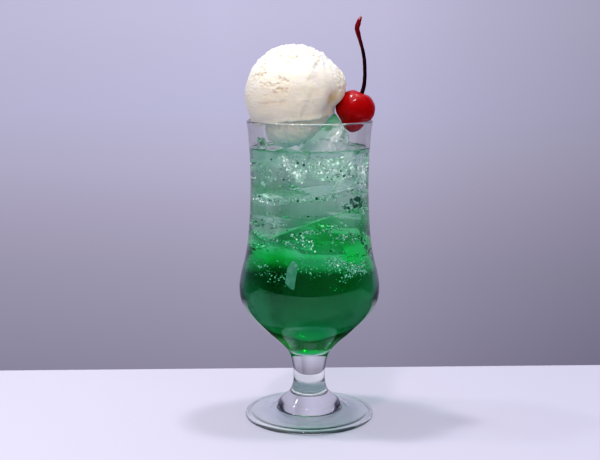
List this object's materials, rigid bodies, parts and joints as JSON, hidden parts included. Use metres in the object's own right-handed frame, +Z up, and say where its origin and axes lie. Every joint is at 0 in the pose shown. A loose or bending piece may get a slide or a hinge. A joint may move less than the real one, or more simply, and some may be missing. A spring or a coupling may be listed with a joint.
{
  "type": "ice cream float",
  "caption": "Tall footed glass of green soda and ice, topped with a round scoop of vanilla ice cream and a red cherry on its stem.",
  "frame": {"origin": "middle of the underside of the glass's foot, on the surface it stands on", "axes": "+Z up along the glass's axis; +X towards the cherry's side, the scoop leaning to -X; -Y is the side that the picture shows"},
  "size_m": [0.0836, 0.0836, 0.2383],
  "materials": {
    "clear_glass": "polished clear pressed glass",
    "green_soda": "clear green liquid, deep green below and paler above",
    "clear_ice": "wet clear ice with flat fractures",
    "vanilla_ice_cream": "soft creamy white with small tears and crumbs",
    "cherry_skin": "wet glossy deep red",
    "stem_bark": "dark wine-brown, slightly shiny, redder at the broken end"
  },
  "bodies": {
    "root": {"glass": "clear_glass", "drink": "green_soda", "ice_peak": "clear_ice", "ice_left": "clear_ice", "ice_cream": "vanilla_ice_cream", "cherry": "cherry_skin", "cherry_stem": "stem_bark"}
  },
  "joints": []
}
